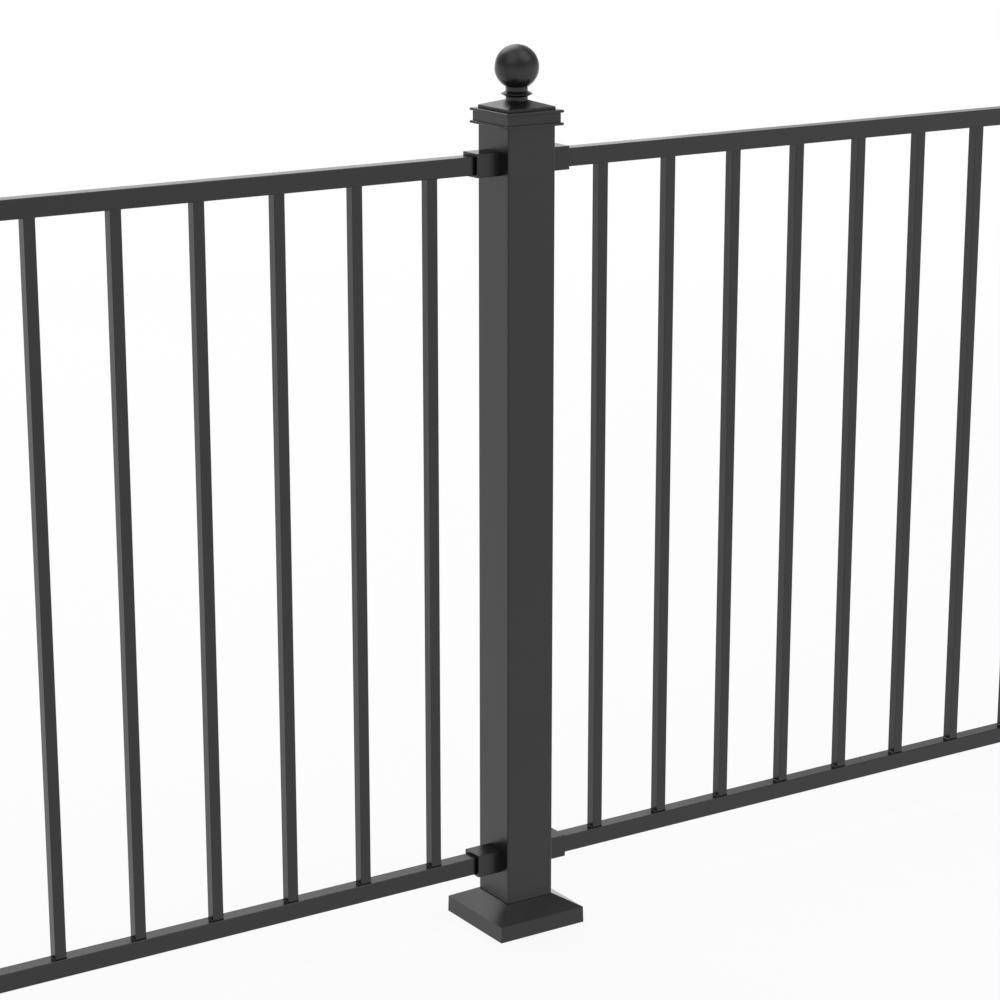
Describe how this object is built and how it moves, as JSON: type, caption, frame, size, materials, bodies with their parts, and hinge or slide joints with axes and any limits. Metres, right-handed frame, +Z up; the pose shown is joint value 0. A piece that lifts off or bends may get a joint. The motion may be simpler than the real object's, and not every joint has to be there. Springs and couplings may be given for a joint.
{
  "type": "ball top railing",
  "caption": "Black powder-coated railing: square posts with ball caps and base covers carry welded picket panels whose rails rest in sleeve brackets.",
  "frame": {"origin": "centre of the centre post's base plate underside, on the deck", "axes": "+X along the run to the right as seen from the front, -Y towards the front, +Z up"},
  "size_m": [3.9522, 0.1422, 1.2624],
  "materials": {
    "powder_coat": "satin black powder coat on steel tube and plate",
    "cast_coat": "satin black powder coat on castings and pressings"
  },
  "bodies": {
    "root": {"left_post": "powder_coat", "left_base_plate": "powder_coat", "left_base_cover": "cast_coat", "left_post_cap": "cast_coat", "left_ball_finial": "cast_coat", "centre_post": "powder_coat", "centre_base_plate": "powder_coat", "centre_base_cover": "cast_coat", "centre_post_cap": "cast_coat", "centre_ball_finial": "cast_coat", "right_post": "powder_coat", "right_base_plate": "powder_coat", "right_base_cover": "cast_coat", "right_post_cap": "cast_coat", "right_ball_finial": "cast_coat", "left_panel": "powder_coat", "left_panel_lower_start_bracket": "cast_coat", "left_panel_lower_end_bracket": "cast_coat", "left_panel_upper_start_bracket": "cast_coat", "left_panel_upper_end_bracket": "cast_coat", "right_panel": "powder_coat", "right_panel_lower_start_bracket": "cast_coat", "right_panel_lower_end_bracket": "cast_coat", "right_panel_upper_start_bracket": "cast_coat", "right_panel_upper_end_bracket": "cast_coat"}
  },
  "joints": []
}
